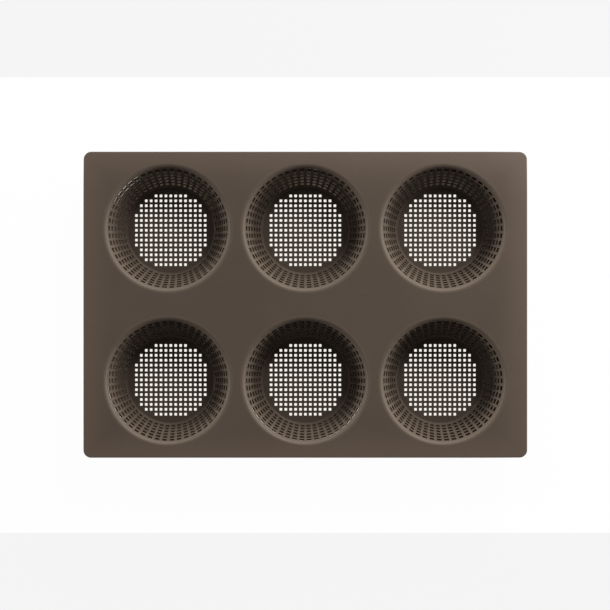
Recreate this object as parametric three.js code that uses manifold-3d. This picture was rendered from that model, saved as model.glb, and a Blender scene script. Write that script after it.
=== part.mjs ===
// Perforated bread roll tray: a flat silicone deck with six tapered cups hanging from it.
// The tray is one soft moulding. It is divided here where its own regions meet: the deck, and for
// each cup a wall, from the rounded lip down to the rounded foot, and a flat mesh floor.
// Millimetres, +Z up. The origin lies on the surface the tray stands on, under the deck's middle.
import * as THREE from "three";
import { mergeGeometries, mergeVertices } from "three/addons/utils/BufferGeometryUtils.js";
import Module from "manifold-3d";

const wasm = await Module();
wasm.setup();

// Heights and skin thicknesses
const TRAY_HEIGHT = 28;
const DECK_THICKNESS = 2;
const WALL_THICKNESS = 1.5;
const FLOOR_THICKNESS = 1.5;

// Cup outline: the mouth is where the lip's rounding meets the deck, and the floor radius is
// where the wall's inner face would meet the floor's top face without its fillet
const MOUTH_RADIUS = 41.8;
const FLOOR_RADIUS = 29.4;
const LIP_ROUND = 2.4;
const FLOOR_FILLET = 1;
const FOOT_ROUND = 2;
const FOOT_RING_WIDTH = 0.45;

// Cups in the deck, and the strips of deck between them and round them
const CUP_COLUMNS = 3;
const CUP_ROWS = 2;
const COLUMN_LAND = 6.4;
const ROW_LAND = 16.4;
const END_LAND = 13.2;
const SIDE_LAND = 8.2;
const DECK_CORNER_RADIUS = 5;
const DECK_EDGE_ROUND = 0.8;

// Vent slots round the wall: each one is as wide as a real slot and runs the height of the
// perforated band, and the bands of solid wall above and below it are left whole
const WALL_SLOTS = 20;
const SLOT_WIDTH = 2.5;
const SLOT_FOOT_BAND = 1.3;
const SLOT_LIP_BAND = 1.2;

// Mesh floor: so many cells across, each a square hole between thin bars, inside a solid border
const FLOOR_CELLS = 8.5;
const FLOOR_BAR = 1;
const FLOOR_BORDER = 0.6;

// Clearance at the seam between two regions of the moulding
const SEAM_GAP = 0.3;

// Flat faces round a cup: two to a slot, so that every slot sits in the middle of one
const CUP_FACETS = 2 * WALL_SLOTS;
const ROUND_STEPS = 2;
const CORNER_STEPS = 5;

const silicone = new THREE.MeshStandardMaterial({ color: "#584b41", roughness: 0.55, metalness: 0 });

// Solids

// A closed geometry as a solid that can be cut.
function toSolid(geometry) {
  const bare = geometry.clone();
  bare.deleteAttribute("normal");
  bare.deleteAttribute("uv");
  const merged = mergeVertices(bare, 1e-4);
  return new wasm.Manifold(
    new wasm.Mesh({
      numProp: 3,
      vertProperties: merged.attributes.position.array,
      triVerts: new Uint32Array(merged.index.array),
    }),
  );
}

// A solid as a geometry with one flat normal to each triangle.
function toGeometry(solid) {
  const mesh = solid.getMesh();
  const shared = new THREE.BufferGeometry()
    .setAttribute("position", new THREE.BufferAttribute(mesh.vertProperties, 3))
    .setIndex(new THREE.BufferAttribute(mesh.triVerts, 1));
  const geometry = shared.toNonIndexed();
  geometry.computeVertexNormals();
  return geometry;
}

// What is left of one geometry when all the cutters, which don't touch each other, are taken away.
// Flat faces that the cut leaves in slivers are put together again.
function cut(geometry, cutters) {
  const left = toSolid(geometry).subtract(toSolid(mergeGeometries(cutters)));
  return toGeometry(left.asOriginal().simplify(1e-3));
}

// Cup profile: x is the distance from the cup's axis and y the height

const point = (x, y) => new THREE.Vector2(x, y);

// The wall's inner face runs from the floor corner up to where it touches the lip's round.
const floorCorner = point(FLOOR_RADIUS, FLOOR_THICKNESS);
const lipCentre = point(MOUTH_RADIUS, TRAY_HEIGHT - LIP_ROUND);
const floorToLip = lipCentre.clone().sub(floorCorner);
const wallTilt = Math.atan2(floorToLip.x, floorToLip.y) - Math.asin(LIP_ROUND / floorToLip.length());
const wallLength = Math.sqrt(floorToLip.lengthSq() - LIP_ROUND ** 2);
const upWall = point(Math.sin(wallTilt), Math.cos(wallTilt));
const outOfWall = point(Math.cos(wallTilt), -Math.sin(wallTilt));

// A place on the wall, so far up from the floor corner and so far out through the skin.
function onWall(up, out) {
  return floorCorner.clone().addScaledVector(upWall, up).addScaledVector(outOfWall, out);
}

// The outer face's radius at a height.
function outerRadius(height) {
  return onWall(0, WALL_THICKNESS).x + (height - onWall(0, WALL_THICKNESS).y) * Math.tan(wallTilt);
}

// Points round an arc of the profile, from one angle to another, without its first point.
function arc(centre, radius, from, to) {
  return Array.from({ length: ROUND_STEPS }, (_, step) => {
    const angle = from + ((to - from) * (step + 1)) / ROUND_STEPS;
    return point(centre.x + radius * Math.cos(angle), centre.y + radius * Math.sin(angle));
  });
}

// The roundings turn from the wall's slope to level, so each takes this much of both lines.
const levelToWall = Math.tan((Math.PI / 2 - wallTilt) / 2);
const filletReach = FLOOR_FILLET * levelToWall;
const footReach = FOOT_ROUND * levelToWall;

// The mesh floor ends here, inside the fillet, and the wall's foot ring begins.
const seamRadius = FLOOR_RADIUS - filletReach - FOOT_RING_WIDTH;

// The foot's rounding, limited so that a flat ring is left under it to stand on.
const footFlatEnd = Math.max(outerRadius(0) - footReach, seamRadius + FOOT_RING_WIDTH / 2);
const footRound = (outerRadius(0) - footFlatEnd) / levelToWall;
const footCentre = point(footFlatEnd, footRound);

// The wall's section, from the lip down the inside, under the foot and up the outside.
function wallProfile() {
  const level = Math.PI / 2;
  const filletCentre = onWall(filletReach, -FLOOR_FILLET);
  const lipUnderside = TRAY_HEIGHT - DECK_THICKNESS;
  return [
    point(MOUTH_RADIUS, TRAY_HEIGHT),
    ...arc(lipCentre, LIP_ROUND, level, 2 * level - wallTilt),
    onWall(filletReach, 0),
    ...arc(filletCentre, FLOOR_FILLET, -wallTilt, -level),
    point(seamRadius, FLOOR_THICKNESS),
    point(seamRadius, 0),
    point(footFlatEnd, 0),
    ...arc(footCentre, footRound, -level, -wallTilt),
    point(outerRadius(lipUnderside), lipUnderside),
    point(MOUTH_RADIUS, lipUnderside),
    point(MOUTH_RADIUS, TRAY_HEIGHT),
  ];
}

// One tall cutter through the wall, in the perforated band, at an angle round the cup.
function slotCutter(angle) {
  const height = wallLength - SLOT_FOOT_BAND - SLOT_LIP_BAND;
  const middle = onWall(SLOT_FOOT_BAND + height / 2, WALL_THICKNESS / 2);
  return new THREE.BoxGeometry(3 * WALL_THICKNESS, SLOT_WIDTH, height)
    .rotateY(wallTilt)
    .translate(middle.x, 0, middle.y)
    .rotateZ(angle);
}

// A cup's wall, with its lip and its foot, as it stands on the floor round the cup's axis.
function makeWall() {
  const turned = new THREE.LatheGeometry(wallProfile(), CUP_FACETS).rotateX(Math.PI / 2);
  const step = (2 * Math.PI) / WALL_SLOTS;
  const cutters = Array.from({ length: WALL_SLOTS }, (_, slot) => slotCutter(slot * step));
  return cut(turned, cutters);
}

// An upright disc or drum with the cups' facets, from one height to another.
function drum(radius, bottom, top) {
  return new THREE.CylinderGeometry(radius, radius, top - bottom, CUP_FACETS)
    .rotateX(Math.PI / 2)
    .translate(0, 0, (bottom + top) / 2);
}

// A cup's flat floor: square holes wherever a whole one fits inside the border.
function makeFloor() {
  const radius = seamRadius - SEAM_GAP;
  const reach = radius * Math.cos(Math.PI / CUP_FACETS) - FLOOR_BORDER;
  const pitch = (2 * reach) / FLOOR_CELLS;
  const holeSide = pitch - FLOOR_BAR;
  const most = Math.floor(reach / pitch);
  const cutters = [];
  for (let column = -most; column <= most; column += 1) {
    for (let row = -most; row <= most; row += 1) {
      const farX = Math.abs(column) * pitch + holeSide / 2;
      const farY = Math.abs(row) * pitch + holeSide / 2;
      if (Math.hypot(farX, farY) > reach) continue;
      const hole = new THREE.BoxGeometry(holeSide, holeSide, 3 * FLOOR_THICKNESS);
      cutters.push(hole.translate(column * pitch, row * pitch, FLOOR_THICKNESS / 2));
    }
  }
  return cut(drum(radius, 0, FLOOR_THICKNESS), cutters);
}

// Deck

const columnPitch = 2 * MOUTH_RADIUS + COLUMN_LAND;
const rowPitch = 2 * MOUTH_RADIUS + ROW_LAND;
const deckLength = (CUP_COLUMNS - 1) * columnPitch + 2 * MOUTH_RADIUS + 2 * END_LAND;
const deckWidth = (CUP_ROWS - 1) * rowPitch + 2 * MOUTH_RADIUS + 2 * SIDE_LAND;

// Cup axes, along the back row from left to right and then along the front row.
const cupCentres = [];
for (let row = 0; row < CUP_ROWS; row += 1) {
  for (let column = 0; column < CUP_COLUMNS; column += 1) {
    const x = (column - (CUP_COLUMNS - 1) / 2) * columnPitch;
    const y = ((CUP_ROWS - 1) / 2 - row) * rowPitch;
    cupCentres.push(new THREE.Vector3(x, y, 0));
  }
}

// The deck's outline, a rectangle with round corners.
function deckOutline() {
  const halfLength = deckLength / 2;
  const halfWidth = deckWidth / 2;
  const inLength = halfLength - DECK_CORNER_RADIUS;
  const inWidth = halfWidth - DECK_CORNER_RADIUS;
  const quarter = Math.PI / 2;
  return new THREE.Shape()
    .absarc(inLength, inWidth, DECK_CORNER_RADIUS, 0, quarter)
    .absarc(-inLength, inWidth, DECK_CORNER_RADIUS, quarter, 2 * quarter)
    .absarc(-inLength, -inWidth, DECK_CORNER_RADIUS, 2 * quarter, 3 * quarter)
    .absarc(inLength, -inWidth, DECK_CORNER_RADIUS, 3 * quarter, 4 * quarter);
}

// The flat sheet with its soft edge and an opening at each cup's mouth.
function makeDeck() {
  const edgeRound = Math.min(DECK_EDGE_ROUND, 0.45 * DECK_THICKNESS);
  const underside = TRAY_HEIGHT - DECK_THICKNESS;
  const sheet = new THREE.ExtrudeGeometry(deckOutline(), {
    depth: DECK_THICKNESS - 2 * edgeRound,
    bevelThickness: edgeRound,
    bevelSize: edgeRound,
    bevelOffset: -edgeRound,
    bevelSegments: ROUND_STEPS,
    curveSegments: CORNER_STEPS,
  }).translate(0, 0, underside + edgeRound);
  const mouths = cupCentres.map((centre) => {
    const opening = drum(MOUTH_RADIUS + SEAM_GAP, underside - DECK_THICKNESS, TRAY_HEIGHT + DECK_THICKNESS);
    return opening.translate(centre.x, centre.y, 0);
  });
  return cut(sheet, mouths);
}

// The tray

function named(name, geometry) {
  const mesh = new THREE.Mesh(geometry, silicone);
  mesh.name = name;
  return mesh;
}

const tray = new THREE.Group();
tray.add(named("deck", makeDeck()));

const wallGeometry = makeWall();
const floorGeometry = makeFloor();
cupCentres.forEach((centre, index) => {
  const cup = new THREE.Group();
  cup.position.copy(centre);
  cup.add(named(`cup_${index + 1}_wall`, wallGeometry));
  cup.add(named(`cup_${index + 1}_floor`, floorGeometry));
  tray.add(cup);
});

export default tray;
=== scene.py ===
"""Perforated silicone bread roll tray, dressed for a photograph from straight above.

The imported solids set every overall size. The pieces made here stand in their places with the full
count of wall slots and mesh holes, rounded moulded edges and a silicone finish.
"""

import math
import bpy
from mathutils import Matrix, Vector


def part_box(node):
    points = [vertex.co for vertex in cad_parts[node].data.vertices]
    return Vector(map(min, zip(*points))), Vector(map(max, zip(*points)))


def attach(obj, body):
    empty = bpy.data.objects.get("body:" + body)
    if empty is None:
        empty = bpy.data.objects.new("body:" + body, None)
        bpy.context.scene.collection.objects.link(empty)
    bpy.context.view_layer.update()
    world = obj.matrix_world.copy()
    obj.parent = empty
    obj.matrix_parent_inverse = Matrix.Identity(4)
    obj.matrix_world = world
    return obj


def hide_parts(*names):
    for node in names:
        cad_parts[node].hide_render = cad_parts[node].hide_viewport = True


bl_info = {
    "name": "Bread Roll Tray",
    "version": (1, 0, 0),
    "blender": (4, 5, 0),
    "location": "View3D > Sidebar > Roll Tray",
    "description": "Models a perforated silicone bread roll tray and its photo stage",
    "category": "Object",
}

import bmesh
import bpy
from bpy.props import FloatProperty, FloatVectorProperty, IntProperty, PointerProperty
from mathutils import Euler, Matrix, Vector

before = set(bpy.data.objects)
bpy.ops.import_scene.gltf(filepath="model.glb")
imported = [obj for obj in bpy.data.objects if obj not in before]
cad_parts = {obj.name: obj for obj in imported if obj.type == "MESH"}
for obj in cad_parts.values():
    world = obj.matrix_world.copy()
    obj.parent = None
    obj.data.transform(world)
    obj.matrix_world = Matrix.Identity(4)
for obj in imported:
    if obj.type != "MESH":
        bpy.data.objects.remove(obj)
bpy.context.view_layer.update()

BODY = "root"
CUPS = sorted(name[: -len("_wall")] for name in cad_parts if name.endswith("_wall"))
DECK_LOW, DECK_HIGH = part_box("deck")
WALL_LOW, WALL_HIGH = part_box(f"{CUPS[0]}_wall")
FLOOR_LOW, FLOOR_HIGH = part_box(f"{CUPS[0]}_floor")
MOUTH_RADIUS = (WALL_HIGH.y - WALL_LOW.y) / 2

# The solids leave this much room at the seams of the moulding, which are closed here.
SEAM_GAP = 0.0003
# The solids' own rounding of the mouth, which fixes the wall's slope with the mouth's radius.
SOLID_LIP_ROUND = 0.0024
# Places where a cup's moulded wall is a little thinner: direction from its axis and half spread in
# degrees, slot rows from the top, and how much thinner in metres.
THIN_PLACES = {
    "cup_1": ((136.0, 33.0, 2, 0.00015), (136.0, 33.0, 1, 0.00008)),
    "cup_2": ((80.0, 34.0, 1, 0.0002),),
    "cup_4": ((204.0, 75.0, 1, 0.00018),),
    "cup_5": ((219.0, 42.0, 1, 0.00048), (268.0, 45.0, 1, 0.0003), (321.0, 50.0, 1, 0.00046)),
}

# Faces across a rounded edge or corner.
LIP_STEPS = 8
FILLET_STEPS = 4
FOOT_STEPS = 5
NECK_STEPS = 3
SLOT_STEPS = 1
UPPER_RIM_STEPS = 6
LOWER_RIM_STEPS = 3
HOLE_CORNER_STEPS = 2
HOLE_RIM_STEPS = 1

# Lengths in metres, and angles in radians, that count as nothing.
WELD = 1e-6
ON_CUT = 1e-7
ROW_MARGIN = 2e-5
COLUMN_MARGIN = 1e-5
SEAM_MARGIN = 0.0002
# Angles between two faces, in radians: a shading break, a rim still square, an edge of a hole.
SHADING_BREAK = 0.7
SQUARE_RIM = 1.5
HOLE_EDGE = 0.5

# Which of a wall's materials the sides of its slots have; that material is a darker copy of the silicone,
# painted shade in the slots.
JAMB_MATERIAL = 1
# The line of the painted highlight along a lip lies this far inside the mouth's radius.
LIP_LINE_INSET = 0.0015
# The roughness varies by this much to either side.
GLOSS_SPREAD = 0.06

# Soft lights round the tray: name, azimuth and elevation in degrees, distance, width and height in
# metres, power in watts.
LIGHTS = (
    ("key", 62.0, 38.0, 4.5, 1.9, 1.0, 97.0),
    ("left_key", 120.0, 38.0, 4.5, 1.9, 1.0, 30.0),
    ("high_back", 66.0, 20.0, 4.5, 1.9, 1.0, 78.0),
    ("back", 94.0, 15.0, 4.5, 1.9, 0.6, 56.0),
    ("right", 10.0, 8.0, 4.5, 2.6, 0.6, 154.0),
    ("left", 174.0, 8.0, 4.5, 1.9, 0.6, 124.0),
    ("front", 270.0, 35.0, 4.5, 1.9, 1.0, 13.0),
    ("corner", 38.0, 26.0, 0.34, 0.15, 0.1, 0.23),
)
# Half the table's size, how far it lies below the white runner, and how white each of them looks.
TABLE_HALF = 4.0
TABLE_DROP = 0.0005
TABLE_WHITE = 0.9131
RUNNER_WHITE = 1.0
# Colour of the shadow painted on the ground under the tray, how far it fades in from the rim, and the
# part of the ground's look that comes from the lights.
SHADOW_COLOUR = (0.963, 0.929, 0.862)
SHADOW_REACH = 0.03
LIT_PART = 0.03
WHITE = (1.0, 1.0, 1.0)

AXIS = Vector((0.0, 0.0, 1.0))
ORIGIN = Vector((0.0, 0.0, 0.0))


class TrayDeckSettings(bpy.types.PropertyGroup):
    """Sizes of the flat deck"""

    length: FloatProperty(
        name="Length", description="Deck size along X", default=DECK_HIGH.x - DECK_LOW.x, unit="LENGTH"
    )
    width: FloatProperty(
        name="Width", description="Deck size along Y", default=DECK_HIGH.y - DECK_LOW.y, unit="LENGTH"
    )
    top: FloatProperty(
        name="Top", description="Height of the deck's upper face", default=DECK_HIGH.z, unit="LENGTH"
    )
    thickness: FloatProperty(
        name="Thickness", description="Deck skin", default=DECK_HIGH.z - DECK_LOW.z, unit="LENGTH"
    )
    corner_radius: FloatProperty(
        name="Corner radius", description="Round corners in plan", default=0.005, unit="LENGTH"
    )
    corner_steps: IntProperty(name="Corner steps", description="Edges to a round corner", default=12)
    upper_round: FloatProperty(
        name="Upper round", description="Rounding of the rim's upper edge", default=0.0006, unit="LENGTH"
    )
    lower_round: FloatProperty(
        name="Lower round", description="Rounding of the rim's lower edge", default=0.0004, unit="LENGTH"
    )
    back_sag: FloatProperty(
        name="Back sag",
        description="Slope of the soft deck at its back edge",
        default=math.radians(6.0),
        unit="ROTATION",
    )
    side_sag: FloatProperty(
        name="Side sag",
        description="Slope of the soft deck at its right edge",
        default=math.radians(6.5),
        unit="ROTATION",
    )
    sag_width: FloatProperty(
        name="Sag width", description="Strip along the edges that sags", default=0.03, unit="LENGTH"
    )
    sag_folds: IntProperty(name="Sag folds", description="Small folds in a strip", default=10)
    sag_steps: IntProperty(name="Sag steps", description="Steps up a wall that take up the sag", default=6)


class TrayCupSettings(bpy.types.PropertyGroup):
    """Sizes of a cup's wall, lip and foot, and of its vent slots"""

    mouth_radius: FloatProperty(
        name="Mouth radius",
        description="From the cup's axis to where the lip meets the deck",
        default=MOUTH_RADIUS,
        unit="LENGTH",
    )
    floor_radius: FloatProperty(
        name="Floor radius",
        description="From the axis to the corner between wall and floor",
        default=0.0294,
        unit="LENGTH",
    )
    seam_radius: FloatProperty(
        name="Seam radius",
        description="From the axis to where the foot ring meets the mesh",
        default=(FLOOR_HIGH.y - FLOOR_LOW.y) / 2 + SEAM_GAP,
        unit="LENGTH",
    )
    wall_thickness: FloatProperty(
        name="Wall thickness", description="Skin of the tapered wall", default=0.0015, unit="LENGTH"
    )
    lip_round: FloatProperty(
        name="Lip round", description="Rounding of the mouth", default=0.0029, unit="LENGTH"
    )
    lip_land: FloatProperty(
        name="Lip land", description="Level strip between the lip and the deck", default=0.001, unit="LENGTH"
    )
    floor_fillet: FloatProperty(
        name="Floor fillet", description="Rounding inside the foot", default=0.001, unit="LENGTH"
    )
    foot_round: FloatProperty(
        name="Foot round", description="Rounding outside the foot", default=0.0018, unit="LENGTH"
    )
    neck_round: FloatProperty(
        name="Neck round", description="Rounding under the lip", default=0.0008, unit="LENGTH"
    )
    slot_columns: IntProperty(name="Slot columns", description="Slots round the wall", default=50)
    slot_rows: IntProperty(name="Slot rows", description="Slots up the wall", default=6)
    slot_share: FloatProperty(
        name="Slot share",
        description="Open part of a column",
        default=0.62,
        subtype="FACTOR",
        min=0.1,
        max=0.9,
    )
    slot_height: FloatProperty(
        name="Slot height", description="Slot size up the wall", default=0.0025, unit="LENGTH"
    )
    row_pitch: FloatProperty(
        name="Row pitch", description="Slot to slot up the wall", default=0.00424, unit="LENGTH"
    )
    first_row: FloatProperty(
        name="First row", description="Lowest slots' middle above the floor", default=0.0031, unit="LENGTH"
    )
    slot_round: FloatProperty(
        name="Slot round", description="Rounding of a slot's edges", default=0.00005, unit="LENGTH"
    )


class TrayMeshSettings(bpy.types.PropertyGroup):
    """Sizes of a cup's mesh floor"""

    thickness: FloatProperty(
        name="Thickness", description="Floor skin", default=FLOOR_HIGH.z - FLOOR_LOW.z, unit="LENGTH"
    )
    pitch: FloatProperty(name="Pitch", description="Hole to hole", default=0.00328, unit="LENGTH")
    bar: FloatProperty(
        name="Bar", description="Width of the bars between the holes", default=0.0015, unit="LENGTH"
    )
    reach: FloatProperty(
        name="Reach", description="Holes from the middle of the mesh to its rim", default=7.85
    )
    hole_corner: FloatProperty(
        name="Hole corner", description="Corner radius of a hole", default=0.0002, unit="LENGTH"
    )
    hole_round: FloatProperty(
        name="Hole round", description="Rounding of a hole's edges", default=0.00015, unit="LENGTH"
    )


class TrayFinishSettings(bpy.types.PropertyGroup):
    """Colours of the silicone and of its painted lip highlight, rim light and slot shade, and how far these
    reach
    """

    colour: FloatVectorProperty(
        name="Colour",
        description="Silicone",
        default=(0.083, 0.061, 0.0445),
        subtype="COLOR",
        size=3,
        min=0,
        max=1,
    )
    pale: FloatVectorProperty(
        name="Pale",
        description="Bloom on the silicone",
        default=(0.1, 0.0755, 0.0568),
        subtype="COLOR",
        size=3,
        min=0,
        max=1,
    )
    # Painted highlight along the lips, where the light catches them.
    painted_lip_highlight: FloatVectorProperty(
        name="Worn",
        description="Lips worn by the rolls",
        default=(0.15, 0.118, 0.092),
        subtype="COLOR",
        size=3,
        min=0,
        max=1,
    )
    # Painted light along the deck's rim, which looks lighter towards its edges.
    painted_rim_light: FloatVectorProperty(
        name="Handled",
        description="Rim worn by hands",
        default=(0.166, 0.1145, 0.0905),
        subtype="COLOR",
        size=3,
        min=0,
        max=1,
    )
    dusty: FloatVectorProperty(
        name="Dusty",
        description="Specks of dust",
        default=(0.32, 0.28, 0.24),
        subtype="COLOR",
        size=3,
        min=0,
        max=1,
    )
    # Painted shade in the slots, darkest near the right edge.
    painted_slot_shade: FloatVectorProperty(
        name="Soiled",
        description="Darkest slots, at the right edge",
        default=(0.011, 0.0078, 0.0055),
        subtype="COLOR",
        size=3,
        min=0,
        max=1,
    )
    # How far the painted rim light reaches in from the rim.
    rim_reach: FloatProperty(
        name="Rim reach", description="Strip of wear along the rim", default=0.022, unit="LENGTH"
    )
    # How far the painted lip highlight reaches to either side of a lip.
    lip_reach: FloatProperty(
        name="Lip reach", description="Wear to either side of a lip", default=0.0016, unit="LENGTH"
    )
    # How far the painted slot shade reaches in from the right edge.
    side_reach: FloatProperty(
        name="Side reach", description="Dark slots in from the right edge", default=0.09, unit="LENGTH"
    )
    roughness: FloatProperty(
        name="Roughness",
        description="Middle of the sheen's spread",
        default=0.54,
        subtype="FACTOR",
        min=0,
        max=1,
    )


class TrayStageSettings(bpy.types.PropertyGroup):
    """Camera, ground and light"""

    camera_height: FloatProperty(
        name="Camera height", description="Camera above the deck", default=1.115, unit="LENGTH"
    )
    camera_x: FloatProperty(
        name="Camera X", description="Camera right of the middle", default=-0.002, unit="LENGTH"
    )
    camera_y: FloatProperty(
        name="Camera Y", description="Camera behind the middle", default=-0.0135, unit="LENGTH"
    )
    view_width: FloatProperty(
        name="View width", description="Width of the view at the deck", default=0.3981, unit="LENGTH"
    )
    shift_x: FloatProperty(name="Shift X", description="Lens shift to the right, in views", default=0.0042)
    shift_y: FloatProperty(name="Shift Y", description="Lens shift upwards, in views", default=0.0332)
    runner_width: FloatProperty(
        name="Runner width", description="White sheet under the tray", default=0.3048, unit="LENGTH"
    )
    fill: FloatProperty(name="Fill", description="Light from all round", default=0.06, min=0)


class CupSection:
    """Lines of a cup's section, with x as the distance from the axis and y as the height."""

    def __init__(self, cup, deck, mesh):
        self.cup = cup
        self.deck = deck
        self.floor_corner = Vector((cup.floor_radius, mesh.thickness))
        lip_centre = Vector((cup.mouth_radius, deck.top - SOLID_LIP_ROUND))
        reach = lip_centre - self.floor_corner
        self.tilt = math.atan2(reach.x, reach.y) - math.asin(SOLID_LIP_ROUND / reach.length)
        self.up = Vector((math.sin(self.tilt), math.cos(self.tilt)))
        self.out = Vector((math.cos(self.tilt), -math.sin(self.tilt)))
        self.tangent = math.tan((math.pi / 2 - self.tilt) / 2)
        self.deck_seam = cup.mouth_radius + cup.lip_land

    def at_height(self, height, depth):
        """The point at a height on a line that lies so deep in the wall."""
        start = self.floor_corner + depth * self.out
        return start + self.up * ((height - start.y) / self.up.y)

    def up_wall(self, co):
        """How far a point lies up the wall from the floor corner."""
        return (Vector((math.hypot(co.x, co.y), co.z)) - self.floor_corner).dot(self.up)

    def depth(self, co):
        """How deep a point lies in the wall from its inner face."""
        return (Vector((math.hypot(co.x, co.y), co.z)) - self.floor_corner).dot(self.out)

    def row_of(self, co, margin=ROW_MARGIN):
        """The slot row that a point lies in or on the edge of, or None between the rows."""
        cup = self.cup
        up = self.up_wall(co)
        row = round((up - cup.first_row) / cup.row_pitch)
        near = abs(up - cup.first_row - row * cup.row_pitch) < cup.slot_height / 2 + margin
        return row if near and 0 <= row < cup.slot_rows else None

    def sector_steps(self):
        """Angles of the strips in one column: half a rib, the slot, half a rib."""
        column = 2 * math.pi / self.cup.slot_columns
        slot = column * self.cup.slot_share
        rib = (column - slot) / 2
        return [rib, slot, rib]


def everything(bm):
    """All of a mesh's elements, as most operators take them."""
    return bm.verts[:] + bm.edges[:] + bm.faces[:]


def only_verts(geom):
    """The vertices among what an operator gives."""
    return [part for part in geom if isinstance(part, bmesh.types.BMVert)]


def cut(bm, place, normal, clear_outer=False):
    """Cut a mesh along a plane, and take away what lies beyond it where asked."""
    bmesh.ops.bisect_plane(
        bm,
        geom=everything(bm),
        dist=ON_CUT,
        plane_co=place,
        plane_no=normal,
        clear_outer=clear_outer,
    )


def round_corners(bm, verts, reach, steps):
    """Round corners of a flat outline, taking so much of each of their sides."""
    bmesh.ops.bevel(
        bm,
        geom=verts,
        offset=reach,
        offset_type="OFFSET",
        segments=steps,
        profile=0.5,
        affect="VERTICES",
        clamp_overlap=False,
        material=-1,
    )


def soften(bm, edges, radius, steps):
    """Round the given edges as a mould does."""
    bmesh.ops.bevel(
        bm,
        geom=edges,
        offset=radius,
        offset_type="OFFSET",
        segments=steps,
        profile=0.5,
        affect="EDGES",
        clamp_overlap=True,
        material=-1,
    )


def thicken(bm, thickness):
    """Give a level sheet its thickness, upwards."""
    raised = bmesh.ops.extrude_face_region(bm, geom=bm.faces[:])["geom"]
    bmesh.ops.translate(bm, vec=(0.0, 0.0, thickness), verts=only_verts(raised))
    bmesh.ops.recalc_face_normals(bm, faces=bm.faces)


def join(bm, other):
    """Add another mesh to this one, free it and return its edges."""
    mesh = bpy.data.meshes.new("part")
    other.to_mesh(mesh)
    other.free()
    known = set(bm.edges)
    bm.from_mesh(mesh)
    bpy.data.meshes.remove(mesh)
    return [edge for edge in bm.edges if edge not in known]


def sweep_column(bm, geom, section):
    """Turn a profile about the cup's axis through one column of slots."""
    steps = section.sector_steps()
    half_back = Matrix.Rotation(-sum(steps) / 2, 3, AXIS)
    bmesh.ops.rotate(bm, verts=only_verts(geom), cent=ORIGIN, matrix=half_back)
    for angle in steps:
        geom = bmesh.ops.spin(
            bm, geom=geom, cent=ORIGIN, axis=AXIS, dvec=ORIGIN, angle=angle, steps=1, use_duplicate=False
        )["geom_last"]


def repeat_columns(bm, section):
    """Copy one column round the cup's axis and weld the copies."""
    columns = section.cup.slot_columns
    bmesh.ops.spin(
        bm,
        geom=everything(bm),
        cent=ORIGIN,
        axis=AXIS,
        dvec=ORIGIN,
        angle=2 * math.pi * (columns - 1) / columns,
        steps=columns - 1,
        use_duplicate=True,
    )
    bmesh.ops.remove_doubles(bm, verts=bm.verts, dist=WELD)


def draw_plate(bm, deck):
    """The deck's rounded rim without its two flat faces; gives their outlines by height."""
    underside = deck.top - deck.thickness
    bmesh.ops.create_grid(bm, x_segments=1, y_segments=1, size=0.5)
    bmesh.ops.scale(bm, vec=(deck.length, deck.width, 1.0), verts=bm.verts)
    round_corners(bm, bm.verts[:], deck.corner_radius, deck.corner_steps)
    bmesh.ops.translate(bm, vec=(0.0, 0.0, underside), verts=bm.verts)
    thicken(bm, deck.thickness)
    middle = deck.top - deck.thickness / 2
    rims = [edge for edge in bm.edges if abs(edge.verts[0].co.z - edge.verts[1].co.z) < WELD]
    upper = [edge for edge in rims if edge.verts[0].co.z > middle]
    soften(bm, upper, deck.upper_round, UPPER_RIM_STEPS)
    lower = [edge for edge in rims if edge.is_valid and edge.calc_face_angle(0.0) > SQUARE_RIM]
    soften(bm, lower, deck.lower_round, LOWER_RIM_STEPS)
    flats = [face for face in bm.faces if face.calc_area() > deck.length * deck.width / 2]
    if len(flats) != 2:
        raise RuntimeError("the deck has lost its flat faces")
    outlines = [edge for face in flats for edge in face.edges]
    bmesh.ops.delete(bm, geom=flats, context="FACES_ONLY")
    levels = {deck.top: [], underside: []}
    for edge in outlines:
        level = min(levels, key=lambda height: abs(edge.verts[0].co.z - height))
        levels[level].append(edge)
    return levels


def fill_plate(bm, section, levels):
    """Set the mouths' rings into the deck and fill its flat faces round them."""
    for cup in CUPS:
        pair = []
        for level in levels:
            ring = bmesh.new()
            start = ring.verts.new((section.deck_seam, 0.0, level))
            sweep_column(ring, [start], section)
            repeat_columns(ring, section)
            bmesh.ops.translate(ring, vec=cup_centre(cup), verts=ring.verts)
            rim = join(bm, ring)
            levels[level] += rim
            pair += rim
        bmesh.ops.bridge_loops(bm, edges=pair)
    for edges in levels.values():
        bmesh.ops.triangle_fill(bm, edges=edges, use_beauty=True, use_dissolve=False)


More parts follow.
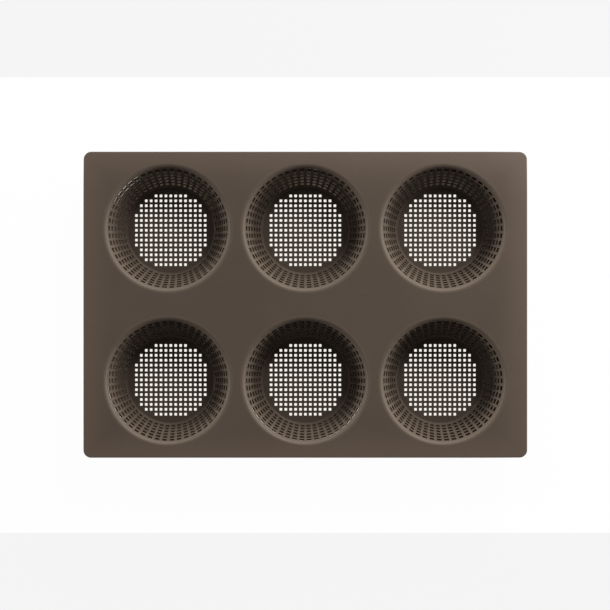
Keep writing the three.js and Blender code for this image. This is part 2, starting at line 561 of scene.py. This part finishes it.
def draw_section(bm, section):
    """Outline of the wall's section in the XZ plane, rounded, with a point at each slot edge."""
    cup, deck = section.cup, section.deck
    underside = deck.top - deck.thickness
    mouth = section.at_height(deck.top, 0.0)
    foot = section.at_height(0.0, cup.wall_thickness)
    neck = section.at_height(underside, cup.wall_thickness)
    corners = [
        (section.deck_seam, deck.top),
        mouth,
        section.floor_corner,
        (cup.seam_radius, section.floor_corner.y),
        (cup.seam_radius, 0.0),
        foot,
        neck,
        (section.deck_seam, underside),
    ]
    verts = [bm.verts.new((x, 0.0, z)) for x, z in corners]
    bm.faces.new(verts)
    lip, fillet, sole, throat = verts[1], verts[2], verts[5], verts[6]
    round_corners(bm, [lip], cup.lip_round * section.tangent, LIP_STEPS)
    round_corners(bm, [fillet], cup.floor_fillet * section.tangent, FILLET_STEPS)
    round_corners(bm, [sole], cup.foot_round * section.tangent, FOOT_STEPS)
    round_corners(bm, [throat], cup.neck_round * section.tangent, NECK_STEPS)
    for row in range(cup.slot_rows):
        for side in (-1, 1):
            up = cup.first_row + row * cup.row_pitch + side * cup.slot_height / 2
            point = section.floor_corner + up * section.up
            cut(bm, (point.x, 0.0, point.y), (section.up.x, 0.0, section.up.y))
    inside = [edge for edge in bm.edges if len(edge.link_faces) == 2]
    bmesh.ops.delete(bm, geom=bm.faces[:], context="FACES_ONLY")
    bmesh.ops.delete(bm, geom=inside, context="EDGES")


def open_slots(bm, section):
    """Open the slots of one column through the wall and round their edges."""
    half = math.pi * section.cup.slot_share / section.cup.slot_columns

    def in_column(co):
        return abs(math.atan2(co.y, co.x)) < half + COLUMN_MARGIN

    panes = [
        face
        for face in bm.faces
        if in_column(face.calc_center_median()) and section.row_of(face.calc_center_median()) is not None
    ]
    bmesh.ops.delete(bm, geom=panes, context="FACES")
    rims = {}
    for edge in bm.edges:
        middle = (edge.verts[0].co + edge.verts[1].co) / 2
        row = section.row_of(middle)
        if edge.is_boundary and row is not None and in_column(middle):
            rims.setdefault(row, []).append(edge)
    jambs = []
    for row in sorted(rims):
        jambs += bmesh.ops.bridge_loops(bm, edges=rims[row])["faces"]
    if not jambs:
        raise RuntimeError("the cup wall has no slots")
    for face in jambs:
        face.material_index = JAMB_MATERIAL
    edges = {edge for face in jambs for edge in face.edges}
    soften(bm, list(edges), section.cup.slot_round, SLOT_STEPS)


def thin_wall(bm, section, places):
    """Draw the wall's outer face in over the upper slots, fading out to both sides of each place."""
    cup = section.cup
    column_angle = 2 * math.pi / cup.slot_columns
    outer = {}
    for vert in bm.verts:
        row = section.row_of(vert.co, 2 * cup.slot_round)
        if row is not None and section.depth(vert.co) > cup.wall_thickness / 2:
            column = round(math.atan2(vert.co.y, vert.co.x) / column_angle)
            outer.setdefault((row, column), []).append(vert)
    inwards = Vector((-section.out.x, 0.0, -section.out.y))
    for (row, column), verts in outer.items():
        angle = column * column_angle
        amount = 0.0
        for direction, spread, rows, thinner in places:
            off = math.remainder(angle - math.radians(direction), 2 * math.pi) / math.radians(spread)
            if abs(off) < 1 and row >= cup.slot_rows - rows:
                amount += thinner * math.cos(off * math.pi / 2) ** 2
        if amount > 0:
            bmesh.ops.translate(bm, vec=Matrix.Rotation(angle, 3, AXIS) @ inwards * amount, verts=verts)


def draw_mesh_floor(bm, section, mesh):
    """Flat round floor with softened square holes, which meets the facets of the foot ring."""
    seam = section.cup.seam_radius
    cells = 2 * math.ceil(seam / mesh.pitch) + 1
    bmesh.ops.create_grid(bm, x_segments=cells, y_segments=cells, size=cells * mesh.pitch / 2)
    panes = [face for face in bm.faces if face.calc_center_median().length < mesh.reach * mesh.pitch]
    bmesh.ops.inset_individual(bm, faces=panes, thickness=mesh.bar / 2, use_even_offset=True)
    bmesh.ops.delete(bm, geom=panes, context="FACES_ONLY")
    angle = -sum(section.sector_steps()) / 2
    for step in section.sector_steps() * section.cup.slot_columns:
        middle = angle + step / 2
        normal = Vector((math.cos(middle), math.sin(middle), 0.0))
        cut(bm, normal * seam * math.cos(step / 2), normal, clear_outer=True)
        angle += step
    thicken(bm, mesh.thickness)

    def rim_of_hole(edge):
        return edge.calc_face_angle(0.0) > HOLE_EDGE and edge.verts[0].co.xy.length < seam - SEAM_MARGIN

    def upright(edge):
        return abs(edge.verts[0].co.z - edge.verts[1].co.z) > mesh.thickness / 2

    corners = [edge for edge in bm.edges if rim_of_hole(edge) and upright(edge)]
    soften(bm, corners, mesh.hole_corner, HOLE_CORNER_STEPS)
    rims = [edge for edge in bm.edges if rim_of_hole(edge) and not upright(edge)]
    soften(bm, rims, mesh.hole_round, HOLE_RIM_STEPS)


def sag_lines(deck):
    """Folds by which the soft deck hangs towards its back and right edges: axis, place and slope."""
    for axis, edge, slope in ((0, deck.length / 2, deck.side_sag), (1, deck.width / 2, deck.back_sag)):
        for fold in range(deck.sag_folds):
            place = edge - deck.sag_width * (1 - fold / deck.sag_folds)
            yield axis, place, math.tan(slope) / deck.sag_folds


def crease(bm, deck):
    """Cut the deck along the folds."""
    for axis, place, _ in sag_lines(deck):
        normal = Vector((0.0, 0.0, 0.0))
        normal[axis] = 1.0
        cut(bm, normal * place, normal)


def let_sag(bm, deck):
    """Bend a piece along the folds. A wall takes up the sag by steps, so that its foot stays flat."""
    for axis, place, slope in sag_lines(deck):
        shear = Matrix.Identity(4)
        shear[2][axis] = -slope / deck.sag_steps
        shear[2][3] = slope / deck.sag_steps * place
        beyond = [vert for vert in bm.verts if vert.co[axis] > place]
        for step in range(1, deck.sag_steps + 1):
            height = (deck.top - deck.thickness) * step / (deck.sag_steps + 1)
            bmesh.ops.transform(bm, matrix=shear, verts=[vert for vert in beyond if vert.co.z > height])


def cup_centre(cup):
    """A cup's axis on the surface that the tray stands on."""
    low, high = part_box(f"{cup}_wall")
    return Vector(((low.x + high.x) / 2, (low.y + high.y) / 2, 0.0))


def add_piece(name, node, bm, *materials):
    """Make a mesh into a piece that stands for a solid of the tray."""
    for edge in bm.edges:
        edge.smooth = edge.calc_face_angle(0.0) < SHADING_BREAK
    for face in bm.faces:
        face.smooth = True
    mesh = bpy.data.meshes.new(name)
    bm.to_mesh(mesh)
    for material in materials:
        mesh.materials.append(material)
    piece = bpy.data.objects.new(name, mesh)
    bpy.context.scene.collection.objects.link(piece)
    weighted = piece.modifiers.new("Even shading", "WEIGHTED_NORMAL")
    weighted.keep_sharp = True
    weighted.weight = 50
    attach(piece, BODY)
    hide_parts(node)


def feed(tree, value, socket):
    """Join an output to a socket, or set the socket to a plain number or colour."""
    if isinstance(value, bpy.types.NodeSocket):
        tree.links.new(value, socket)
    else:
        socket.default_value = value


def opaque(colour, shade=1.0):
    """A colour without transparency, lighter or darker by a factor."""
    return (*(shade * part for part in colour), 1.0)


def math_node(tree, operation, *values):
    """A Math node on sockets or plain numbers; gives its value."""
    node = tree.nodes.new("ShaderNodeMath")
    node.operation = operation
    for socket, value in zip(node.inputs, values):
        feed(tree, value, socket)
    return node.outputs["Value"]


def noise(tree, place, size, detail, roughness=0.5):
    """A Noise Texture node; gives its value."""
    node = tree.nodes.new("ShaderNodeTexNoise")
    feed(tree, place, node.inputs["Vector"])
    feed(tree, size, node.inputs["Scale"])
    feed(tree, detail, node.inputs["Detail"])
    feed(tree, roughness, node.inputs["Roughness"])
    return node.outputs["Fac"]


def stretch(tree, value, low, high):
    """Values from low to high, spread from 0 to 1."""
    node = tree.nodes.new("ShaderNodeMapRange")
    feed(tree, value, node.inputs["Value"])
    feed(tree, low, node.inputs["From Min"])
    feed(tree, high, node.inputs["From Max"])
    return node.outputs["Result"]


def fade(tree, distance, reach):
    """A soft step from 1 at no distance to 0 at the reach."""
    node = tree.nodes.new("ShaderNodeMapRange")
    node.interpolation_type = "SMOOTHSTEP"
    feed(tree, distance, node.inputs["Value"])
    feed(tree, reach, node.inputs["From Max"])
    feed(tree, 1.0, node.inputs["To Min"])
    feed(tree, 0.0, node.inputs["To Max"])
    return node.outputs["Result"]


def layer(tree, base, colour, mask, strength=1.0):
    """Lay a colour over a base where a mask says, up to a strength; gives the mixed colour."""
    if strength == 0:
        return base
    node = tree.nodes.new("ShaderNodeMix")
    node.data_type = "RGBA"
    feed(tree, base, node.inputs["A"])
    feed(tree, colour, node.inputs["B"])
    share = mask if strength == 1 else math_node(tree, "MULTIPLY", mask, strength)
    feed(tree, share, node.inputs["Factor"])
    return node.outputs["Result"]


def mix_shaders(tree, share, first, second):
    """Two shaders mixed by a share of the second; gives the mixed shader."""
    node = tree.nodes.new("ShaderNodeMixShader")
    feed(tree, share, node.inputs["Fac"])
    feed(tree, first, node.inputs[1])
    feed(tree, second, node.inputs[2])
    return node.outputs["Shader"]


def new_group(name, inputs, outputs):
    """A shader node group that takes a place and values; with its inner inputs and outputs."""
    group = bpy.data.node_groups.new(name, "ShaderNodeTree")
    face = group.interface
    face.new_socket("Place", in_out="INPUT", socket_type="NodeSocketVector")
    for label, value in inputs.items():
        face.new_socket(label, in_out="INPUT", socket_type="NodeSocketFloat").default_value = value
    for label in outputs:
        face.new_socket(label, in_out="OUTPUT", socket_type="NodeSocketFloat")
    inside = group.nodes.new("NodeGroupInput")
    outside = group.nodes.new("NodeGroupOutput")
    return group, inside.outputs, outside.inputs


def place_group(tree, group, place):
    """Place a node group in a material, on the given coordinates."""
    node = tree.nodes.new("ShaderNodeGroup")
    node.node_tree = group
    feed(tree, place, node.inputs["Place"])
    return node


def bloom_group():
    """Shader node group: how a moulded silicone skin varies in colour, gloss and height."""
    name = "Silicone Bloom"
    if name in bpy.data.node_groups:
        return bpy.data.node_groups[name]
    sizes = {"Cloud Size": 22.0, "Grain Size": 2600.0, "Speck Size": 900.0}
    group, inside, outside = new_group(name, sizes, ("Cloud", "Grain", "Speck"))
    place = inside["Place"]
    cloud = noise(group, place, inside["Cloud Size"], detail=5.0, roughness=0.62)
    grain = noise(group, place, inside["Grain Size"], detail=2.0)
    speck = noise(group, place, inside["Speck Size"], detail=1.0)
    feed(group, stretch(group, cloud, 0.3, 0.7), outside["Cloud"])
    feed(group, grain, outside["Grain"])
    feed(group, stretch(group, speck, 0.7, 0.78), outside["Speck"])
    return group


def painted_light_masks():
    """Shader node group: how near a place is to the tray's rim, to a lip and to the right edge; masks for
    painted light and shade.
    """
    name = "Painted Light Masks"
    if name in bpy.data.node_groups:
        return bpy.data.node_groups[name]
    sizes = {
        "Half Length": DECK_HIGH.x,
        "Half Width": DECK_HIGH.y,
        "Lip Radius": MOUTH_RADIUS - LIP_LINE_INSET,
        "Rim Reach": 0.022,
        "Lip Reach": 0.0016,
        "Side Reach": 0.09,
    }
    group, inside, outside = new_group(name, sizes, ("Rim", "Lip", "Side"))
    split = group.nodes.new("ShaderNodeSeparateXYZ")
    feed(group, inside["Place"], split.inputs["Vector"])

    across = math_node(group, "ABSOLUTE", split.outputs["X"])
    along = math_node(group, "ABSOLUTE", split.outputs["Y"])
    to_side = math_node(group, "SUBTRACT", inside["Half Length"], across)
    to_back = math_node(group, "SUBTRACT", inside["Half Width"], along)
    to_rim = math_node(group, "MINIMUM", to_side, to_back)
    feed(group, fade(group, to_rim, inside["Rim Reach"]), outside["Rim"])
    to_right = math_node(group, "SUBTRACT", inside["Half Length"], split.outputs["X"])
    feed(group, fade(group, to_right, inside["Side Reach"]), outside["Side"])

    # The cups stand in mirrored columns and rows, so one corner's cup places all their lips.
    corner_cup = cup_centre(CUPS[0])
    from_outer = math_node(group, "ABSOLUTE", math_node(group, "SUBTRACT", across, abs(corner_cup.x)))
    from_column = math_node(group, "MINIMUM", across, from_outer)
    from_row = math_node(group, "SUBTRACT", along, abs(corner_cup.y))
    squares = [math_node(group, "MULTIPLY", offset, offset) for offset in (from_column, from_row)]
    radius = math_node(group, "SQRT", math_node(group, "ADD", *squares))
    to_lip = math_node(group, "ABSOLUTE", math_node(group, "SUBTRACT", radius, inside["Lip Radius"]))
    feed(group, fade(group, to_lip, inside["Lip Reach"]), outside["Lip"])
    return group


def silicone(
    name, finish, grain_depth, bloom=0.0, dust=0.0, lip=0.0, rim=0.0, painted_shade_strength=0.0, shade=1.0, specular=0.25
):
    """Soft brown silicone with a fine grain and as much bloom and dust as is asked for, with painted light
    and shade: a highlight along the lips, light along the rim, shade in the slots near the right edge, and a
    shade factor that paints the whole copy lighter above 1, darker below 1.
    """
    material = bpy.data.materials.new(name)
    material.use_nodes = True
    tree = material.node_tree
    nodes = tree.nodes
    shader = nodes["Principled BSDF"].inputs
    shader["IOR"].default_value = 1.41
    shader["Specular IOR Level"].default_value = specular
    shader["Sheen Weight"].default_value = 0.02
    shader["Sheen Roughness"].default_value = 0.5

    place = nodes.new("ShaderNodeTexCoord").outputs["Object"]
    skin = place_group(tree, bloom_group(), place).outputs
    # A shade factor above 1 paints the copy lighter, below 1 darker.
    colour = opaque(finish.colour, shade)
    colour = layer(tree, colour, opaque(finish.pale, shade), skin["Cloud"], bloom)
    colour = layer(tree, colour, opaque(finish.dusty), skin["Speck"], dust)
    # Painted light and shade: a highlight along the lips, light along the rim, shade in the slots near the
    # right edge.
    if lip or rim or painted_shade_strength:
        painted_masks = place_group(tree, painted_light_masks(), place)
        painted_masks.inputs["Rim Reach"].default_value = finish.rim_reach
        painted_masks.inputs["Lip Reach"].default_value = finish.lip_reach
        painted_masks.inputs["Side Reach"].default_value = finish.side_reach
        colour = layer(tree, colour, opaque(finish.painted_lip_highlight), painted_masks.outputs["Lip"], lip)
        colour = layer(tree, colour, opaque(finish.painted_rim_light), painted_masks.outputs["Rim"], rim)
        colour = layer(tree, colour, opaque(finish.painted_slot_shade), painted_masks.outputs["Side"], painted_shade_strength)
    feed(tree, colour, shader["Base Color"])

    gloss = nodes.new("ShaderNodeMapRange")
    gloss.inputs["To Min"].default_value = finish.roughness - GLOSS_SPREAD
    gloss.inputs["To Max"].default_value = finish.roughness + GLOSS_SPREAD
    feed(tree, skin["Cloud"], gloss.inputs["Value"])
    feed(tree, gloss.outputs["Result"], shader["Roughness"])

    bump = nodes.new("ShaderNodeBump")
    bump.inputs["Strength"].default_value = 0.35
    bump.inputs["Distance"].default_value = grain_depth
    feed(tree, skin["Grain"], bump.inputs["Height"])
    feed(tree, bump.outputs["Normal"], shader["Normal"])
    return material


def seen_directly(tree):
    """A value that is 1 for what the camera, a reflection or a clear body sees, and 0 for light."""
    rays = tree.nodes.new("ShaderNodeLightPath").outputs
    mirrored = math_node(tree, "MAXIMUM", rays["Is Camera Ray"], rays["Is Glossy Ray"])
    return math_node(tree, "MAXIMUM", mirrored, rays["Is Transmission Ray"])


def white_ground(name, white):
    """White sheet with a light, warm shadow painted under the tray, and clear from below."""
    material = bpy.data.materials.new(name)
    material.use_nodes = True
    tree = material.node_tree
    nodes = tree.nodes
    nodes.clear()
    paper = nodes.new("ShaderNodeBsdfDiffuse")
    paper.inputs["Color"].default_value = (0.95, 0.95, 0.95, 1.0)
    bounce = nodes.new("ShaderNodeBsdfDiffuse")
    bounce.inputs["Color"].default_value = (0.25, 0.25, 0.25, 1.0)
    glow = nodes.new("ShaderNodeEmission")
    clear = nodes.new("ShaderNodeBsdfTransparent")

    place = nodes.new("ShaderNodeTexCoord").outputs["Object"]
    shadow = place_group(tree, painted_light_masks(), place)
    shadow.inputs["Rim Reach"].default_value = SHADOW_REACH
    # Painted shadow: the ground is warm and darker under the tray, and white from its rim outwards.
    colour = layer(tree, opaque(SHADOW_COLOUR, white), opaque(WHITE, white), shadow.outputs["Rim"])
    feed(tree, colour, glow.inputs["Color"])

    looks = mix_shaders(tree, LIT_PART, glow.outputs["Emission"], paper.outputs["BSDF"])
    ground = mix_shaders(tree, seen_directly(tree), bounce.outputs["BSDF"], looks)
    below = nodes.new("ShaderNodeNewGeometry").outputs["Backfacing"]
    one_sided = mix_shaders(tree, below, ground, clear.outputs["BSDF"])
    feed(tree, one_sided, nodes.new("ShaderNodeOutputMaterial").inputs["Surface"])
    return material


def white_world(fill):
    """World that looks white and lights softly."""
    world = bpy.data.worlds.new("Studio")
    world.use_nodes = True
    tree = world.node_tree
    nodes = tree.nodes
    nodes.clear()
    skies = []
    for strength in (fill, 1.0):
        sky = nodes.new("ShaderNodeBackground")
        sky.inputs["Color"].default_value = opaque(WHITE)
        sky.inputs["Strength"].default_value = strength
        skies.append(sky.outputs["Background"])
    rays = nodes.new("ShaderNodeLightPath").outputs
    looks = mix_shaders(tree, rays["Is Camera Ray"], *skies)
    feed(tree, looks, nodes.new("ShaderNodeOutputWorld").inputs["Surface"])
    return world


def add_ground(name, half_length, half_width, height, white):
    """Lay a level sheet under the tray."""
    bm = bmesh.new()
    bmesh.ops.create_grid(bm, x_segments=1, y_segments=1, size=1.0)
    bmesh.ops.scale(bm, vec=(half_length, half_width, 1.0), verts=bm.verts)
    bmesh.ops.translate(bm, vec=(0.0, 0.0, height), verts=bm.verts)
    mesh = bpy.data.meshes.new(name)
    bm.to_mesh(mesh)
    bm.free()
    mesh.materials.append(white_ground(f"{name} white", white))
    sheet = bpy.data.objects.new(name, mesh)
    bpy.context.scene.collection.objects.link(sheet)


class ROLLTRAY_OT_deck(bpy.types.Operator):
    """Model the flat deck with its soft rim and round mouths"""

    bl_idname = "roll_tray.deck"
    bl_label = "Deck"

    def execute(self, context):
        scene = context.scene
        deck = scene.roll_tray_deck
        section = CupSection(scene.roll_tray_cup, deck, scene.roll_tray_mesh)
        bm = bmesh.new()
        levels = draw_plate(bm, deck)
        fill_plate(bm, section, levels)
        crease(bm, deck)
        let_sag(bm, deck)
        bmesh.ops.recalc_face_normals(bm, faces=bm.faces)
        finish = scene.roll_tray_finish
        # The deck carries a painted highlight along its lips and painted light along its rim.
        material = silicone("Silicone deck", finish, 0.00004, bloom=0.3, dust=0.1, lip=0.4, rim=0.26)
        add_piece("deck_skin", "deck", bm, material)
        bm.free()
        return {"FINISHED"}


class ROLLTRAY_OT_cup_walls(bpy.types.Operator):
    """Model the cups' tapered walls, from the rounded lip to the foot, with their vent slots"""

    bl_idname = "roll_tray.cup_walls"
    bl_label = "Cup Walls"

    def execute(self, context):
        scene = context.scene
        section = CupSection(scene.roll_tray_cup, scene.roll_tray_deck, scene.roll_tray_mesh)
        bm = bmesh.new()
        draw_section(bm, section)
        sweep_column(bm, everything(bm), section)
        open_slots(bm, section)
        repeat_columns(bm, section)
        bmesh.ops.recalc_face_normals(bm, faces=bm.faces)
        finish = scene.roll_tray_finish
        # The wall is a lighter copy of the silicone, painted light, with a painted highlight along its lips;
        # the slots' copy is darker, painted shade, darkest near the right edge.
        material = silicone("Silicone cup wall", finish, 0.00003, bloom=0.3, dust=0.06, lip=0.4, shade=1.17)
        slot = silicone("Silicone slot", finish, 0.00003, painted_shade_strength=1.0, shade=0.87, specular=0.1)
        for cup in CUPS:
            wall = bm.copy()
            thin_wall(wall, section, THIN_PLACES.get(cup, ()))
            bmesh.ops.translate(wall, vec=cup_centre(cup), verts=wall.verts)
            let_sag(wall, scene.roll_tray_deck)
            add_piece(f"{cup}_wall_skin", f"{cup}_wall", wall, material, slot)
            wall.free()
        bm.free()
        return {"FINISHED"}


class ROLLTRAY_OT_cup_floors(bpy.types.Operator):
    """Model the cups' flat mesh floors with their square holes"""

    bl_idname = "roll_tray.cup_floors"
    bl_label = "Mesh Floors"

    def execute(self, context):
        scene = context.scene
        mesh = scene.roll_tray_mesh
        section = CupSection(scene.roll_tray_cup, scene.roll_tray_deck, mesh)
        bm = bmesh.new()
        draw_mesh_floor(bm, section, mesh)
        finish = scene.roll_tray_finish
        # The mesh is a slightly darker copy of the silicone, painted shade.
        material = silicone("Silicone mesh", finish, 0.00003, bloom=0.5, dust=0.05, shade=0.95)
        for cup in CUPS:
            floor = bm.copy()
            bmesh.ops.translate(floor, vec=cup_centre(cup), verts=floor.verts)
            add_piece(f"{cup}_floor_skin", f"{cup}_floor", floor, material)
            floor.free()
        bm.free()
        return {"FINISHED"}


class ROLLTRAY_OT_stage(bpy.types.Operator):
    """Set the pale table with its white runner, the soft lights and the camera above the tray"""

    bl_idname = "roll_tray.stage"
    bl_label = "Stage"

    def execute(self, context):
        scene = context.scene
        stage = scene.roll_tray_stage
        deck = scene.roll_tray_deck
        scene.view_settings.view_transform = "Standard"

        add_ground("table", TABLE_HALF, TABLE_HALF, -TABLE_DROP, TABLE_WHITE)
        add_ground("white_runner", TABLE_HALF, stage.runner_width / 2, 0.0, RUNNER_WHITE)
        scene.world = white_world(stage.fill)

        for name, azimuth, elevation, distance, width, height, power in LIGHTS:
            lamp = bpy.data.lights.new(name, "AREA")
            lamp.shape = "RECTANGLE"
            lamp.size = width
            lamp.size_y = height
            lamp.energy = power
            light = bpy.data.objects.new(name, lamp)
            ray = Vector((distance, 0.0, 0.0))
            ray.rotate(Euler((0.0, -math.radians(elevation), math.radians(azimuth))))
            light.location = ray + Vector((0.0, 0.0, deck.top))
            light.rotation_euler = ray.to_track_quat("Z", "Y").to_euler()
            scene.collection.objects.link(light)

        lens = bpy.data.cameras.new("camera")
        lens.sensor_width = 36.0
        lens.lens = lens.sensor_width * stage.camera_height / stage.view_width
        lens.shift_x = stage.shift_x
        lens.shift_y = stage.shift_y
        lens.clip_start = 0.01
        camera = bpy.data.objects.new("camera", lens)
        camera.location = (stage.camera_x, stage.camera_y, deck.top + stage.camera_height)
        scene.collection.objects.link(camera)
        scene.camera = camera
        return {"FINISHED"}


class ROLLTRAY_PT_sidebar(bpy.types.Panel):
    """Sizes, colours and steps of the roll tray"""

    bl_idname = "ROLLTRAY_PT_sidebar"
    bl_label = "Bread Roll Tray"
    bl_space_type = "VIEW_3D"
    bl_region_type = "UI"
    bl_category = "Roll Tray"

    def draw(self, context):
        layout = self.layout
        for operator in OPERATORS:
            layout.operator(operator.bl_idname)
        for name in SETTINGS:
            group = getattr(context.scene, name)
            box = layout.box()
            for key in group.__annotations__:
                box.prop(group, key)


SETTINGS = {
    "roll_tray_deck": TrayDeckSettings,
    "roll_tray_cup": TrayCupSettings,
    "roll_tray_mesh": TrayMeshSettings,
    "roll_tray_finish": TrayFinishSettings,
    "roll_tray_stage": TrayStageSettings,
}
OPERATORS = (ROLLTRAY_OT_deck, ROLLTRAY_OT_cup_walls, ROLLTRAY_OT_cup_floors, ROLLTRAY_OT_stage)


def register():
    """Add the settings, the operators and the panel to Blender."""
    for group in SETTINGS.values():
        bpy.utils.register_class(group)
    for name, group in SETTINGS.items():
        setattr(bpy.types.Scene, name, PointerProperty(type=group))
    for operator in OPERATORS:
        bpy.utils.register_class(operator)
    bpy.utils.register_class(ROLLTRAY_PT_sidebar)


def unregister():
    """Take the panel, the operators and the settings away again."""
    bpy.utils.unregister_class(ROLLTRAY_PT_sidebar)
    for operator in reversed(OPERATORS):
        bpy.utils.unregister_class(operator)
    for name, group in SETTINGS.items():
        delattr(bpy.types.Scene, name)
        bpy.utils.unregister_class(group)


def main():
    """Build the tray and its stage."""
    register()
    bpy.ops.roll_tray.deck()
    bpy.ops.roll_tray.cup_walls()
    bpy.ops.roll_tray.cup_floors()
    bpy.ops.roll_tray.stage()


if __name__ == "__main__":
    main()
